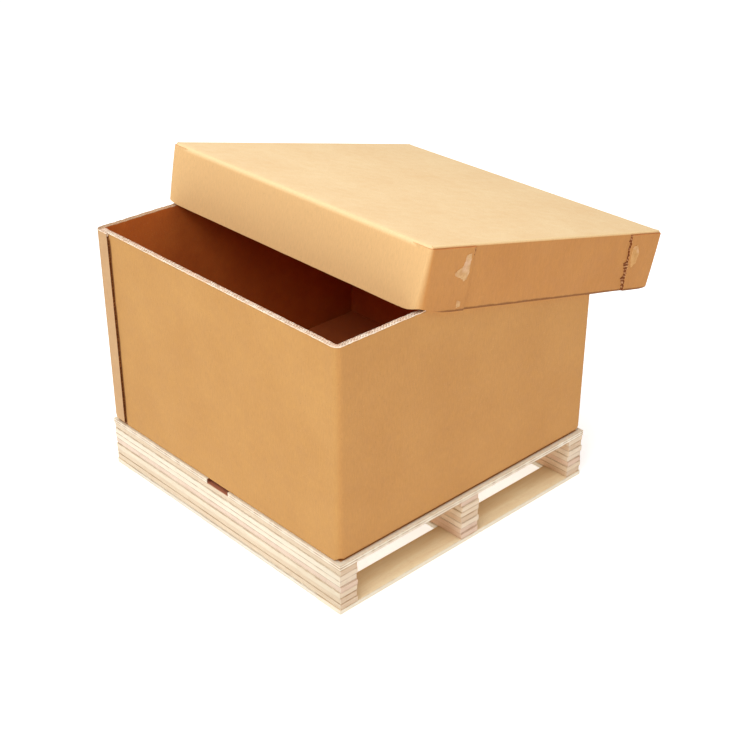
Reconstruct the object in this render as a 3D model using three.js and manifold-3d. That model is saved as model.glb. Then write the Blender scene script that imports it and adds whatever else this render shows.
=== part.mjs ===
// A pallet box: a triple-wall corrugated carton on its own plywood pallet, with a lift-off cap that has been slid
// back and lies tilted across the rim. Millimetres, +Z up, origin on the floor under the middle of the pallet.
// The big left wall faces -X, the wall over the fork entries faces -Y.
import * as THREE from "three";
import { mergeVertices } from "three/addons/utils/BufferGeometryUtils.js";
import Module from "manifold-3d";

const wasm = await Module();
wasm.setup();

// Carton: outside sizes, and the board that it is folded from
const carton_x = 970;
const carton_y = 1000;
const carton_height = 622;
const board = 15;
const fold_radius = 20;
const lap_width = 58; // the blank's glue lap, on the outside of the left wall
const lap_board = 7; // the lap is pressed thinner than the board
const lap_above_bottom = 12;
const glue_line = 0.5;
const flap_seam = 6; // between two bottom flaps that meet
const flap_clearance = 1; // a flap's end to the wall beside it
const end_wall_lift = 7; // the two end walls stop this far above the deck
const pad_clearance = 3;

// Cap: one folded sheet of lighter board, its end flanges turned round the corners
const cap_board = 8;
const cap_height = 175;
const cap_clearance_ends = 3;
const cap_clearance_sides = 10;
const cap_fold_radius = 12;
const cap_corner_radius = 14;
const tab_board = 5;
const tab_length = 165;
const tab_below_top = 8;
const cap_slide = 267; // left wall's outside to the cap's left flange, along the rim
const cap_side_gap = 2; // the cap lies up against the -Y wall
const rest_gap = 0.3;

// Pallet
const ledge_x = 3; // deck beyond the carton, on each side
const ledge_y = 8;
const deck_sheet = 15;
const strap_slot_width = 92;
const strap_slot_depth = 30;
const strap_slot_radius = 7;
const strips_per_runner = 7;
const strip_height = 18;
const outer_runner_width = 62;
const middle_runner_width = 72;
const strip_stagger = 3; // how unevenly the strips of a runner lie
const stagger_turn_strip = 2.4; // radians of the stagger's wave from one strip to the next
const stagger_turn_face = 1.7; // and from one side or end to the next
const strip_chamfer = 1.5;
const base_board = 15; // the frame of boards that the pallet stands on
const cross_board_width = 92;
const base_chamfer = 1.5;

// Heights
const runner_bottom = base_board;
const deck_bottom = runner_bottom + strips_per_runner * strip_height;
const deck_top = deck_bottom + deck_sheet;
const rim = deck_top + carton_height;
const inner_flap_bottom = deck_top + board + glue_line;
const inner_flap_top = inner_flap_bottom + board;

const pallet_x = carton_x + 2 * ledge_x;
const pallet_y = carton_y + 2 * ledge_y;
const past = 5; // how far a cutting shape runs past the face that it cuts
const arc_steps = 8;

const kraft = new THREE.MeshStandardMaterial({ name: "kraft", color: 0xc9965a, roughness: 0.85, metalness: 0 });
const cap_kraft = new THREE.MeshStandardMaterial({ name: "cap", color: 0xdcae74, roughness: 0.85, metalness: 0 });
const inner_kraft = new THREE.MeshStandardMaterial({ name: "pad", color: 0xb07c48, roughness: 0.9, metalness: 0 });
const plywood = new THREE.MeshStandardMaterial({ name: "plywood", color: 0xe9d5ae, roughness: 0.7, metalness: 0 });

// Solids and meshes

function solid(geometry) {
  const bare = geometry.clone();
  bare.deleteAttribute("normal");
  bare.deleteAttribute("uv");
  const merged = mergeVertices(bare, 1e-4);
  return new wasm.Manifold(new wasm.Mesh({
    numProp: 3,
    vertProperties: new Float32Array(merged.attributes.position.array),
    triVerts: new Uint32Array(merged.index.array),
  }));
}

function named_mesh(name, made, material) {
  const { vertProperties, triVerts } = made.getMesh();
  const geometry = new THREE.BufferGeometry();
  geometry.setAttribute("position", new THREE.BufferAttribute(new Float32Array(vertProperties), 3));
  geometry.setIndex(new THREE.BufferAttribute(new Uint32Array(triVerts), 1));
  geometry.computeVertexNormals();
  const mesh = new THREE.Mesh(geometry, material);
  mesh.name = name;
  return mesh;
}

// A block between two corners
function block(x0, x1, y0, y1, z0, z1) {
  const geometry = new THREE.BoxGeometry(x1 - x0, y1 - y0, z1 - z0);
  geometry.translate((x0 + x1) / 2, (y0 + y1) / 2, (z0 + z1) / 2);
  return solid(geometry);
}

// An outline in plan, raised from z0 to z1
function upright(outline, z0, z1) {
  const geometry = new THREE.ExtrudeGeometry(outline, {
    depth: z1 - z0,
    bevelEnabled: false,
    curveSegments: arc_steps,
  });
  geometry.translate(0, 0, z0);
  return solid(geometry);
}

// A profile in X and Z, run along Y from y0 to y1
function along_y(profile, y0, y1) {
  const geometry = new THREE.ExtrudeGeometry(profile, {
    depth: y1 - y0,
    bevelEnabled: false,
    curveSegments: arc_steps,
  });
  geometry.rotateX(Math.PI / 2);
  geometry.translate(0, y1, 0);
  return solid(geometry);
}

// A profile in Y and Z, run along X from x0 to x1
function along_x(profile, x0, x1) {
  const geometry = new THREE.ExtrudeGeometry(profile, {
    depth: x1 - x0,
    bevelEnabled: false,
    curveSegments: arc_steps,
  });
  geometry.rotateX(Math.PI / 2);
  geometry.rotateZ(Math.PI / 2);
  geometry.translate(x0, 0, 0);
  return solid(geometry);
}

// A rectangle with its corners cut off at 45 degrees, the two upper ones only if it is not to sit tight
function chamfered(u0, u1, v0, v1, cut, tight_top = false) {
  const low = [[u0, v0 + cut], [u0 + cut, v0], [u1 - cut, v0], [u1, v0 + cut]];
  const high = tight_top ? [[u1, v1], [u0, v1]] : [[u1, v1 - cut], [u1 - cut, v1], [u0 + cut, v1], [u0, v1 - cut]];
  return new THREE.Shape([...low, ...high].map(([u, v]) => new THREE.Vector2(u, v)));
}

// A rectangle with round corners
function rounded(u0, u1, v0, v1, radius) {
  const outline = new THREE.Shape();
  outline.moveTo(u0 + radius, v0);
  outline.absarc(u1 - radius, v0 + radius, radius, -Math.PI / 2, 0, false);
  outline.absarc(u1 - radius, v1 - radius, radius, 0, Math.PI / 2, false);
  outline.absarc(u0 + radius, v1 - radius, radius, Math.PI / 2, Math.PI, false);
  outline.absarc(u0 + radius, v0 + radius, radius, Math.PI, 1.5 * Math.PI, false);
  return outline;
}

function join(...solids) {
  return solids.reduce((whole, next) => whole.add(next));
}

function cut(whole, ...tools) {
  return tools.reduce((left, tool) => left.subtract(tool), whole);
}

// Carton: four walls folded round from one blank, the lap glued outside the left wall, and two layers of flaps

const wall_x = carton_x / 2;
const wall_y = carton_y / 2;
const inside_x = wall_x - board;
const inside_y = wall_y - board;

function carton_outline() {
  const lap_face = -wall_x - lap_board;
  const outline = new THREE.Shape();
  outline.moveTo(-wall_x, wall_y - lap_width);
  outline.lineTo(-wall_x, -wall_y + fold_radius);
  outline.absarc(-wall_x + fold_radius, -wall_y + fold_radius, fold_radius, Math.PI, 1.5 * Math.PI, false);
  outline.absarc(wall_x - fold_radius, -wall_y + fold_radius, fold_radius, -Math.PI / 2, 0, false);
  outline.absarc(wall_x - fold_radius, wall_y - fold_radius, fold_radius, 0, Math.PI / 2, false);
  outline.absarc(lap_face + fold_radius, wall_y - fold_radius, fold_radius, Math.PI / 2, Math.PI, false);
  outline.lineTo(lap_face, wall_y - lap_width);
  return outline;
}

function carton() {
  const below = deck_top - past;
  const above = rim + past;
  const half_seam = flap_seam / 2;
  const layer_split = deck_top + board + glue_line / 2;

  const cavity = block(-inside_x, inside_x, -inside_y, inside_y, inner_flap_top, above);
  const lap_glue = block(-wall_x - glue_line, -wall_x, wall_y - lap_width - past, inside_y, below, above);
  const wall_end = block(-wall_x - glue_line, -inside_x, inside_y - glue_line, inside_y, below, above);
  const lap_foot = block(
    -wall_x - lap_board - past, -wall_x, wall_y - lap_width - past, wall_y + past, below, deck_top + lap_above_bottom,
  );

  const layer_gap = block(-inside_x, inside_x, -inside_y, inside_y, deck_top + board, inner_flap_bottom);
  const outer_seam = block(-half_seam, half_seam, -inside_y, inside_y, below, layer_split);
  const inner_seam = block(-inside_x, inside_x, -half_seam, half_seam, layer_split, inner_flap_top + past);

  // Each pair below is the same cut on the two opposite sides
  const cuts = [cavity, lap_glue, wall_end, lap_foot, layer_gap, outer_seam, inner_seam];
  for (const side of [-1, 1]) {
    const under_wall = [side * (inside_y - flap_clearance), side * (wall_y + past)].sort((a, b) => a - b);
    const flap_end = [side * (inside_y - flap_clearance), side * inside_y].sort((a, b) => a - b);
    const flap_side = [side * (inside_x - flap_clearance), side * inside_x].sort((a, b) => a - b);
    cuts.push(block(-wall_x - past, wall_x + past, ...under_wall, below, deck_top + end_wall_lift));
    cuts.push(block(-inside_x, inside_x, ...flap_end, below, inner_flap_bottom));
    cuts.push(block(...flap_side, -inside_y, inside_y, layer_split, inner_flap_top + past));
  }
  return cut(upright(carton_outline(), deck_top, rim), ...cuts);
}

function floor_pad() {
  const x = inside_x - pad_clearance;
  const y = inside_y - pad_clearance;
  return block(-x, x, -y, y, inner_flap_top, inner_flap_top + board);
}

// Cap, in its own frame: x from the inside of its left flange, z from the flanges' bottom edge

const cap_inside_x = carton_x + 2 * cap_clearance_ends;
const cap_inside_y = carton_y + 2 * cap_clearance_sides;
const cap_x0 = -cap_board;
const cap_x1 = cap_inside_x + cap_board;
const flange_y = cap_inside_y / 2 + cap_board; // outside of a side flange
const tab_y = flange_y + tab_board; // outside of the tabs that are turned over it

function cap() {
  const roof = rounded(cap_x0, cap_x1, -cap_height, cap_height, cap_fold_radius);
  const shell = along_y(roof, -flange_y, flange_y).intersect(
    block(cap_x0 - past, cap_x1 + past, -tab_y, tab_y, 0, cap_height + past),
  );
  const hollow = block(0, cap_inside_x, -cap_inside_y / 2, cap_inside_y / 2, -past, cap_height - cap_board);

  // The end flanges are wider than the panel: what sticks out is turned round each corner as a tab
  const corners = upright(rounded(cap_x0, cap_x1, -tab_y, tab_y, cap_corner_radius), 0, cap_height - tab_below_top);
  const end_bands = [
    corners.intersect(block(cap_x0, cap_x0 + tab_length, -tab_y, tab_y, 0, cap_height)),
    corners.intersect(block(cap_x1 - tab_length, cap_x1, -tab_y, tab_y, 0, cap_height)),
  ];
  const made = cut(join(shell, ...end_bands), hollow);

  const cuts = [];
  for (const side of [-1, 1]) {
    const glue = [side * flange_y, side * (flange_y + glue_line)].sort((a, b) => a - b);
    cuts.push(block(0, tab_length, ...glue, -past, cap_height - cap_board));
    cuts.push(block(cap_inside_x - tab_length, cap_inside_x, ...glue, -past, cap_height - cap_board));
  }
  return cut(made, ...cuts);
}

// Pallet: a deck sheet, three runners of stacked plywood strips, and a frame of thinner boards underneath

const runners = [
  { name: "left_runner", x: (outer_runner_width - pallet_x) / 2, width: outer_runner_width },
  { name: "middle_runner", x: 0, width: middle_runner_width },
  { name: "right_runner", x: (pallet_x - outer_runner_width) / 2, width: outer_runner_width },
];

// One sheet, with its flat faces parted along the runners' sides: the underside between two runners, which a fork
// lifts, is a face of its own beside those that lie on the runners
function deck() {
  const x = pallet_x / 2;
  const y = pallet_y / 2;
  const half_slot = strap_slot_width / 2;
  const slot_end = x - strap_slot_depth;
  const slot_mouth = x + strap_slot_radius + past;
  const part_lines = runners.flatMap((runner) => [runner.x - runner.width / 2, runner.x + runner.width / 2]);
  const bands = part_lines.slice(1).map((end, i) => block(part_lines[i], end, -y, y, deck_bottom, deck_top));
  const slots = [
    rounded(-slot_mouth, -slot_end, -half_slot, half_slot, strap_slot_radius),
    rounded(slot_end, slot_mouth, -half_slot, half_slot, strap_slot_radius),
  ];
  return cut(join(...bands), ...slots.map((slot) => upright(slot, deck_bottom - past, deck_top + past)));
}

// How far one strip's end or side lies back from the deck's edge, 0 to strip_stagger, different for each strip
function set_back(strip, face) {
  return strip_stagger * (1 + Math.sin(strip * stagger_turn_strip + face * stagger_turn_face)) / 2;
}

function runner_strip(runner, index, strip) {
  const z = runner_bottom + strip * strip_height;
  const x0 = runner.x - runner.width / 2 + set_back(strip, index);
  const x1 = runner.x + runner.width / 2 - set_back(strip, index + 3);
  const y0 = -pallet_y / 2 + set_back(strip, index + 6);
  const y1 = pallet_y / 2 - set_back(strip, index + 9);
  const under_deck = strip === strips_per_runner - 1; // glued tight, so its upper edges stay square
  return along_y(chamfered(x0, x1, z, z + strip_height, strip_chamfer, under_deck), y0, y1);
}

const cross_boards = [
  { name: "front_cross_board", y: (cross_board_width - pallet_y) / 2 },
  { name: "rear_cross_board", y: (pallet_y - cross_board_width) / 2 },
];

function cross_board(y) {
  const half = cross_board_width / 2;
  return along_x(chamfered(y - half, y + half, 0, base_board, base_chamfer), -pallet_x / 2, pallet_x / 2);
}

// The board under a runner, from the front cross board to the rear one
function base_strip(runner) {
  const half = runner.width / 2;
  const end = pallet_y / 2 - cross_board_width;
  return along_y(chamfered(runner.x - half, runner.x + half, 0, base_board, base_chamfer), -end, end);
}

// The assembly

const pallet_group = new THREE.Group();
pallet_group.add(named_mesh("deck", deck(), plywood));
runners.forEach((runner, index) => {
  for (let strip = 0; strip < strips_per_runner; strip += 1) {
    pallet_group.add(named_mesh(`${runner.name}_strip_${strip + 1}`, runner_strip(runner, index, strip), plywood));
  }
  pallet_group.add(named_mesh(`${runner.name}_base_strip`, base_strip(runner), plywood));
});
for (const { name, y } of cross_boards) {
  pallet_group.add(named_mesh(name, cross_board(y), plywood));
}

const carton_group = new THREE.Group();
carton_group.add(named_mesh("carton", carton(), kraft));
carton_group.add(named_mesh("floor_pad", floor_pad(), inner_kraft));

// The cap stands on the inside edge of its left flange, on the rims of the two end walls, and its panel leans on
// the far wall's outside edge: both touch at the height of the rim.
const cap_group = new THREE.Group();
const lean_length = carton_x - cap_slide;
cap_group.rotation.y = Math.asin((cap_height - cap_board) / lean_length);
cap_group.position.set(cap_slide - wall_x, cap_clearance_sides - cap_side_gap, rim + rest_gap);
cap_group.add(named_mesh("lid", cap(), cap_kraft));

const pallet_box = new THREE.Group();
pallet_box.add(pallet_group, carton_group, cap_group);

export default pallet_box;
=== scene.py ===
import math

import bmesh
import bpy
from mathutils import Matrix, Vector, noise


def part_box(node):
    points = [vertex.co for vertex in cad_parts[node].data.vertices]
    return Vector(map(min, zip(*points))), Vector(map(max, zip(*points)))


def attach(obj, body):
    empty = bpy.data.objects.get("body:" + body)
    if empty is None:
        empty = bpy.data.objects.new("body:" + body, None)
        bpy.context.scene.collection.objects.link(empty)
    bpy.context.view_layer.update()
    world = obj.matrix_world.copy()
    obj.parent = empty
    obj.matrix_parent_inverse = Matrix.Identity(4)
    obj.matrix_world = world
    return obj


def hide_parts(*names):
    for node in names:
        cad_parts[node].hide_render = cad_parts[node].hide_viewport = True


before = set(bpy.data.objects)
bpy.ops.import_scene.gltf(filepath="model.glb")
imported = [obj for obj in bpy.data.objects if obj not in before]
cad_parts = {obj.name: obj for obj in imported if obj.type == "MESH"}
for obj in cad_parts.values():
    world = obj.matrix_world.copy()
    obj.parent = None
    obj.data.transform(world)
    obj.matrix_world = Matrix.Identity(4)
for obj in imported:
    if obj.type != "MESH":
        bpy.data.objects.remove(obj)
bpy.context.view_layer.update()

# Sizes in metres. The box of each node gives what it can.
carton_low, carton_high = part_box("carton")
BOARD = 0.015
LAP_BOARD = 0.007
LAP_WIDTH = 0.058
LAP_ABOVE_BOTTOM = 0.012
GLUE_LINE = 0.0005
FOLD = 0.020
END_WALL_LIFT = 0.007
FLAP_SEAM = 0.006
WALL_X = carton_high.x
WALL_Y = carton_high.y
BOTTOM = carton_low.z
RIM = carton_high.z
INSIDE_X = WALL_X - BOARD
INSIDE_Y = WALL_Y - BOARD

# Corrugation, as the rim shows it. A swing and a liner are shares of the board's thickness.
FLUTE_PITCH = 0.0095
FLUTE_SAMPLES = 8
FLUTE_LAYERS = (1 / 6, 1 / 2, 5 / 6)
FLUTE_SWING = 0.100
FLUTE_THICK = 0.0015
LINER = 0.095
RIM_DEPTH = 0.009

# Pallet
DECK_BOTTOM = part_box("deck")[0].z
PALLET_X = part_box("deck")[1].x
PALLET_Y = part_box("deck")[1].y
STRIP_HEIGHT = 0.018
STRIPS_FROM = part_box("left_runner_strip_1")[0].z
BASE_BOARD = 0.015
DECK_VENEER = 0.0075
SLOT_HALF = 0.046
SLOT_DEPTH = 0.030

# Cap, in its own frame as in the source: x from the inside of the left flange, z from the flanges' edge
CAP_BOARD = 0.008
CAP_HEIGHT = 0.175
CAP_CLEARANCE_ENDS = 0.003
CAP_CLEARANCE_SIDES = 0.010
CAP_SLIDE = 0.267
CAP_SIDE_GAP = 0.002
REST_GAP = 0.0003
TAB_BOARD = 0.005
TAB_LENGTH = 0.165
TAB_BELOW_TOP = 0.008
CAP_X0 = -CAP_BOARD
CAP_X1 = 2 * WALL_X + 2 * CAP_CLEARANCE_ENDS + CAP_BOARD
CAP_MID = (CAP_X0 + CAP_X1) / 2
CAP_HALF_X = (CAP_X1 - CAP_X0) / 2
CAP_HALF_Y = WALL_Y + CAP_CLEARANCE_SIDES + CAP_BOARD
TAB_Y = CAP_HALF_Y + TAB_BOARD
SKIN = 0.0004
CAP_TOP = CAP_HEIGHT - 0.0005
END_FOLD = 0.016
SIDE_FOLD = 0.007
LEAN_LENGTH = 2 * WALL_X - CAP_SLIDE
TILT = math.asin((CAP_HEIGHT - CAP_BOARD) / LEAN_LENGTH)
cap_place = Matrix.Translation((CAP_SLIDE - WALL_X, CAP_CLEARANCE_SIDES - CAP_SIDE_GAP, RIM + REST_GAP))
cap_place = cap_place @ Matrix.Rotation(TILT, 4, "Y")

# Camera, as the photograph was taken
PICTURE = 730
SENSOR = 36.0
FOCAL_PIXELS = 1355.2
CAMERA_AZIMUTH = math.radians(-43.17)
CAMERA_ELEVATION = math.radians(28.51)
CAMERA_PLACE = Vector((-2.3427, -2.5775, 2.2483))


def place_camera():
    data = bpy.data.cameras.new("camera")
    camera = bpy.data.objects.new("camera", data)
    bpy.context.scene.collection.objects.link(camera)
    data.sensor_width = SENSOR
    data.lens = FOCAL_PIXELS * SENSOR / PICTURE
    level = math.cos(CAMERA_ELEVATION)
    back_x = math.sin(CAMERA_AZIMUTH) * level
    back_y = -math.cos(CAMERA_AZIMUTH) * level
    back = Vector((back_x, back_y, math.sin(CAMERA_ELEVATION)))
    camera.location = CAMERA_PLACE
    camera.rotation_euler = (-back).to_track_quat("-Z", "Y").to_euler()
    bpy.context.scene.camera = camera


# Node materials

# A Mix node has one set of sockets for each kind of value, so the colour ones are taken by their place
MIX_FACTOR, MIX_A, MIX_B, MIX_RESULT = 0, 6, 7, 2


class Nodes:
    """A material's node tree, with a short call for each kind of node that the materials use."""

    def __init__(self, name, place=None):
        self.material = bpy.data.materials.new(name)
        self.material.use_nodes = True
        self.tree = self.material.node_tree
        self.shader = self.tree.nodes["Principled BSDF"]
        self.where = self.new("ShaderNodeTexCoord").outputs["Object"]
        if place is not None:
            inverse = place.inverted()
            mapping = self.new("ShaderNodeMapping")
            mapping.inputs["Location"].default_value = inverse.to_translation()
            mapping.inputs["Rotation"].default_value = inverse.to_euler("XYZ")
            self.link(self.where, mapping.inputs["Vector"])
            self.where = mapping.outputs["Vector"]

    def new(self, kind):
        return self.tree.nodes.new(kind)

    def link(self, output, socket):
        self.tree.links.new(output, socket)

    def feed(self, value, socket):
        if isinstance(value, bpy.types.NodeSocket):
            self.link(value, socket)
        else:
            socket.default_value = value

    def scaled(self, scale):
        mapping = self.new("ShaderNodeMapping")
        mapping.inputs["Scale"].default_value = scale
        self.link(self.where, mapping.inputs["Vector"])
        return mapping.outputs["Vector"]

    def noise(self, scale, detail, roughness, stretch=None, distortion=0.0):
        node = self.new("ShaderNodeTexNoise")
        node.inputs["Scale"].default_value = scale
        node.inputs["Detail"].default_value = detail
        node.inputs["Roughness"].default_value = roughness
        node.inputs["Distortion"].default_value = distortion
        self.link(self.scaled(stretch) if stretch else self.where, node.inputs["Vector"])
        return node.outputs["Fac"]

    def span(self, value, low, high, to_low=0.0, to_high=1.0):
        node = self.new("ShaderNodeMapRange")
        self.feed(value, node.inputs["Value"])
        node.inputs["From Min"].default_value = low
        node.inputs["From Max"].default_value = high
        node.inputs["To Min"].default_value = to_low
        node.inputs["To Max"].default_value = to_high
        return node.outputs["Result"]

    def math(self, operation, a, b=0.0):
        node = self.new("ShaderNodeMath")
        node.operation = operation
        self.feed(a, node.inputs[0])
        self.feed(b, node.inputs[1])
        return node.outputs[0]

    def product(self, a, b):
        return self.math("MULTIPLY", a, b)

    def total(self, a, b):
        return self.math("ADD", a, b)

    def mix(self, factor, a, b, blend="MIX"):
        node = self.new("ShaderNodeMix")
        node.data_type = "RGBA"
        node.blend_type = blend
        self.feed(factor, node.inputs[MIX_FACTOR])
        self.feed(a, node.inputs[MIX_A])
        self.feed(b, node.inputs[MIX_B])
        return node.outputs[MIX_RESULT]

    def axis(self, name, source=None):
        node = self.new("ShaderNodeSeparateXYZ")
        self.link(source or self.where, node.inputs[0])
        return node.outputs[name]

    def facing(self, name):
        return self.axis(name, self.new("ShaderNodeNewGeometry").outputs["Normal"])

    def facing_front(self, most):
        """From 0 to the given value on faces that look the way of the fork entries, which is -Y."""
        return self.span(self.facing("Y"), -0.9, -0.5, most, 0.0)

    def bump(self, height, distance, strength, over=None):
        node = self.new("ShaderNodeBump")
        node.inputs["Distance"].default_value = distance
        node.inputs["Strength"].default_value = strength
        self.link(height, node.inputs["Height"])
        if over is not None:
            self.link(over, node.inputs["Normal"])
        return node.outputs["Normal"]

    def done(self, color, roughness, normal, specular=0.3):
        self.feed(color, self.shader.inputs["Base Color"])
        self.feed(roughness, self.shader.inputs["Roughness"])
        self.shader.inputs["Specular IOR Level"].default_value = specular
        self.link(normal, self.shader.inputs["Normal"])
        return self.material


def rgb(red, green, blue):
    """A colour as the eye reads it, 0 to 255, in the linear values that a shader takes."""
    def linear(value):
        part = value / 255
        return part / 12.92 if part <= 0.04045 else ((part + 0.055) / 1.055) ** 2.4
    return (linear(red), linear(green), linear(blue), 1.0)


# Paper and board

# Tints that are laid over a paper, and those that it is multiplied by
FOLD_HIGHLIGHT_TINT = rgb(240, 209, 158)
HEM_SHADOW_TINT = rgb(126, 76, 34)
SEAM_SHADOW_TINT = rgb(112, 62, 24)
SCUFF_TINT = rgb(158, 120, 72)
BROWNED_TINT = rgb(190, 150, 106)
PINK_TINT = rgb(246, 208, 178)
CUT_SPECK_TINT = rgb(150, 96, 52)
FLECK_TINT = (0.95, 0.78, 0.5, 1.0)
SPECK_TINT = (0.10, 0.045, 0.02, 1.0)
FIBRE_SHADE = (0.12, 0.05, 0.018, 1.0)
# Painted shade, multiplied onto kraft faces that look towards -Y
END_SIDE_PAINTED_SHADE = (1.0, 0.935, 0.90, 1.0)
# Painted shade for the carton's inside faces that look towards -Y, the far wall's: darker and more yellow
FAR_INSIDE_PAINTED_SHADE = (0.93, 0.98, 0.68, 1.0)

# How deep the bumps are
WASHBOARD = 0.000072
FIBRE_BUMP = 0.00012
CUT_BUMP = 0.0004
OPEN_BUMP = 0.001

# Marks: scuffs below the rim, the painted shadow beside the lap and the painted shadow along the cap's hem
SCUFF_LOW, SCUFF_HIGH = 0.0075, 0.0035
SEAM_SHADOW_WIDTH, SEAM_SHADOW_SHARP = 0.0062, 0.0035
SEAM_SHADOW_SWAY = 0.0022
SEAM_SHADOW_TOP_LOW, SEAM_SHADOW_TOP_HIGH = 0.024, 0.014
SEAM_SHADOW_FACE_DEPTH = 0.002
HEM_SHADOW_SOLID, HEM_SHADOW_END = 0.0040, 0.0078
HEM_SHADOW_SWAY = 0.0012
BROWNED_FADE = 0.006
OPEN_FLUTE_SWAY = 0.006


def carton_marks(n, color):
    """Scuffs just under the rim, and a painted shadow beside the glued lap's edge."""
    height = n.axis("Z")
    near_rim = n.span(height, RIM - SCUFF_LOW, RIM - SCUFF_HIGH)
    spots = n.span(n.noise(105, 3, 0.6), 0.46, 0.60)
    color = n.mix(n.product(n.product(near_rim, spots), 0.6), color, SCUFF_TINT)
    # Painted shadow: a dark wavering line on the outside of the -X wall, beside the lap's edge
    sway = n.span(n.noise(13, 3, 0.6, stretch=(0.2, 0.2, 1.0)), 0.3, 0.7, -SEAM_SHADOW_SWAY, SEAM_SHADOW_SWAY)
    beside = n.total(n.axis("Y"), sway)
    lap_edge = WALL_Y - LAP_WIDTH
    seam_shadow = n.span(beside, lap_edge - SEAM_SHADOW_WIDTH, lap_edge - SEAM_SHADOW_SHARP)
    seam_shadow = n.product(seam_shadow, n.math("LESS_THAN", n.axis("X"), SEAM_SHADOW_FACE_DEPTH - WALL_X))
    seam_shadow = n.product(seam_shadow, n.span(height, RIM - SEAM_SHADOW_TOP_LOW, RIM - SEAM_SHADOW_TOP_HIGH, 0.85, 0.0))
    return n.mix(seam_shadow, color, SEAM_SHADOW_TINT)


def cap_marks(n, color, tone, light, top_painted_sheen, upward_painted_light):
    """The cap's paper, with painted light and shade: painted light on faces that look up a little, a
    painted highlight on the folds, a painted sheen on top and a painted shadow along the lower edge of the
    front side flange.
    """
    up = n.facing("Z")
    # Painted light: flange faces that look up a little are paler and warmer
    color = n.mix(n.span(up, 0.08, 0.22, 0.0, 0.8), color, upward_painted_light)
    # Painted highlight along the folds, where the faces turn from the flanges up to the panel
    color = n.mix(n.span(up, 0.28, 0.72, 0.0, 0.9), color, FOLD_HIGHLIGHT_TINT)
    # Painted sheen: the panel's top, which faces up, is paler and less saturated
    color = n.mix(n.span(up, 0.90, 0.965), color, n.mix(n.product(tone, 0.35), top_painted_sheen, light))
    # Painted shadow: a dark band along the lower edge of the flanges that look towards -Y
    edge = n.total(n.axis("Z"), n.span(n.noise(40, 3, 0.6), 0.3, 0.7, -HEM_SHADOW_SWAY, HEM_SHADOW_SWAY))
    hem_shadow = n.product(n.span(edge, HEM_SHADOW_SOLID, HEM_SHADOW_END, 0.8, 0.0), n.facing_front(1.0))
    return n.mix(hem_shadow, color, HEM_SHADOW_TINT)


def kraft(name, light, dark, place=None, top_painted_sheen=None, upward_painted_light=None, outside=False, front=END_SIDE_PAINTED_SHADE):
    """Brown paper: soft clouds, short fibres, flecks, and the flutes showing faintly through."""
    n = Nodes(name, place)
    clouds = n.span(n.noise(5.5, 4, 0.55), 0.34, 0.68, 0.22, 0.78)
    mottle = n.span(n.noise(34, 3, 0.6), 0.3, 0.72)
    tone = n.total(n.product(clouds, 0.7), n.product(mottle, 0.3))
    color = n.mix(tone, dark, light)
    # Painted shade: faces that look towards -Y are multiplied by the front tint, so that side is darker
    color = n.mix(n.facing_front(1.0), color, front, "MULTIPLY")
    if outside:
        color = carton_marks(n, color)
    if top_painted_sheen is not None:
        color = cap_marks(n, color, tone, light, top_painted_sheen, upward_painted_light)
    fibres = n.span(n.noise(260, 4, 0.7, stretch=(1.0, 1.0, 0.22)), 0.35, 0.75)
    color = n.mix(n.product(fibres, 0.13), color, FIBRE_SHADE, "MULTIPLY")
    flecks = n.span(n.noise(620, 2, 0.5), 0.69, 0.74)
    color = n.mix(n.product(flecks, 0.25), color, FLECK_TINT)
    specks = n.span(n.noise(410, 2, 0.5, stretch=(1.0, 1.0, 0.5)), 0.70, 0.75)
    color = n.mix(n.product(specks, 0.35), color, SPECK_TINT)
    along = n.total(n.axis("X"), n.axis("Y"))
    waves = n.math("SINE", n.product(along, 2 * math.pi / FLUTE_PITCH))
    patchy = n.span(n.noise(9, 2, 0.5), 0.3, 0.75)
    normal = n.bump(n.product(waves, patchy), WASHBOARD, 0.6)
    normal = n.bump(fibres, FIBRE_BUMP, 0.5, over=normal)
    roughness = n.span(mottle, 0.0, 1.0, 0.72, 0.9)
    return n.done(color, roughness, normal)


def cut_board(name, light, dark, place=None, browned_beyond=None):
    """A sawn edge of corrugated board: pale torn paper, pinkish in places, with brown specks."""
    n = Nodes(name, place)
    patches = n.span(n.noise(70, 3, 0.6), 0.35, 0.65)
    color = n.mix(patches, dark, light)
    pink = n.span(n.noise(22, 2, 0.5), 0.5, 0.7)
    color = n.mix(n.product(pink, 0.5), color, PINK_TINT)
    specks = n.span(n.noise(380, 3, 0.6), 0.6, 0.72)
    color = n.mix(n.product(specks, 0.5), color, CUT_SPECK_TINT)
    if browned_beyond is not None:
        browned = n.span(n.axis("Y"), browned_beyond - BROWNED_FADE, browned_beyond, 0.0, 0.75)
        color = n.mix(browned, color, BROWNED_TINT)
    normal = n.bump(n.noise(520, 3, 0.7), CUT_BUMP, 0.6)
    return n.done(color, 0.9, normal, 0.2)


def open_flutes(name, dark, light, ribs, place=None):
    """The open end of the flutes at a torn edge: a brown hollow with painted shade in it, crossed more or
    less by a pale zigzag.
    """
    n = Nodes(name, place)
    sway = n.span(n.noise(24, 2, 0.5), 0.3, 0.7, -OPEN_FLUTE_SWAY, OPEN_FLUTE_SWAY)
    swing = n.math("SINE", n.product(n.total(n.axis("Z"), sway), 2 * math.pi / FLUTE_PITCH))
    ragged = n.total(n.product(swing, ribs), n.span(n.noise(120, 3, 0.7), 0.3, 0.7, -0.9, 0.9))
    color = n.mix(n.span(ragged, -0.1, 1.0), dark, light)
    return n.done(color, 0.95, n.bump(ragged, OPEN_BUMP, 0.8), 0.1)


# Plywood

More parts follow.
